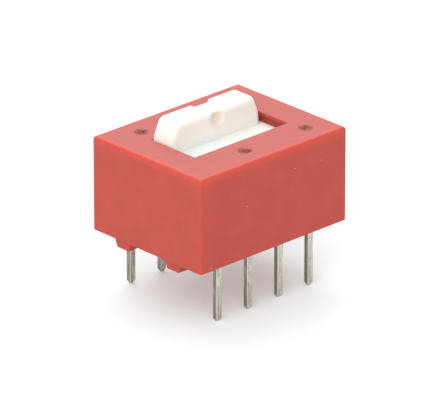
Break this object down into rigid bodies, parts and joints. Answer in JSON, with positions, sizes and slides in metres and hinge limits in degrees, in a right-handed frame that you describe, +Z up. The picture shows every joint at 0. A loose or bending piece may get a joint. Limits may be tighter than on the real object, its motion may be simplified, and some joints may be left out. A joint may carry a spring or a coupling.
{
  "type": "dip switch",
  "caption": "Ganged slide switch in a dual in-line package: red housing, white ridge slider in a roof window, tinned through-hole pins and standoff feet.",
  "frame": {"origin": "level with the pin tips, in the middle of the pin pattern, which is the bottom centre of the part", "axes": "+X along the rows of pins, +Y from the front row to the rear row, +Z up out of the roof"},
  "size_m": [0.012, 0.0094, 0.0114],
  "materials": {
    "housing_plastic": "satin",
    "base_plastic": "satin",
    "slider_plastic": "satin",
    "tinned_metal": "dull tin",
    "spring_bronze": "bright"
  },
  "bodies": {
    "case": {"housing": "housing_plastic", "base": "base_plastic", "terminal_front_1": "tinned_metal", "terminal_front_2": "tinned_metal", "terminal_front_3": "tinned_metal", "terminal_front_4": "tinned_metal", "terminal_rear_1": "tinned_metal", "terminal_rear_2": "tinned_metal", "terminal_rear_3": "tinned_metal", "terminal_rear_4": "tinned_metal"},
    "slide": {"slider": "slider_plastic", "contact_bridge_1": "spring_bronze", "contact_bridge_2": "spring_bronze", "contact_bridge_3": "spring_bronze", "contact_bridge_4": "spring_bronze"}
  },
  "joints": [
    {"name": "slider_travel", "type": "slide", "parent": "case", "child": "slide", "axis": [0, -1, 0], "range_m": [0, 0.00217]}
  ]
}
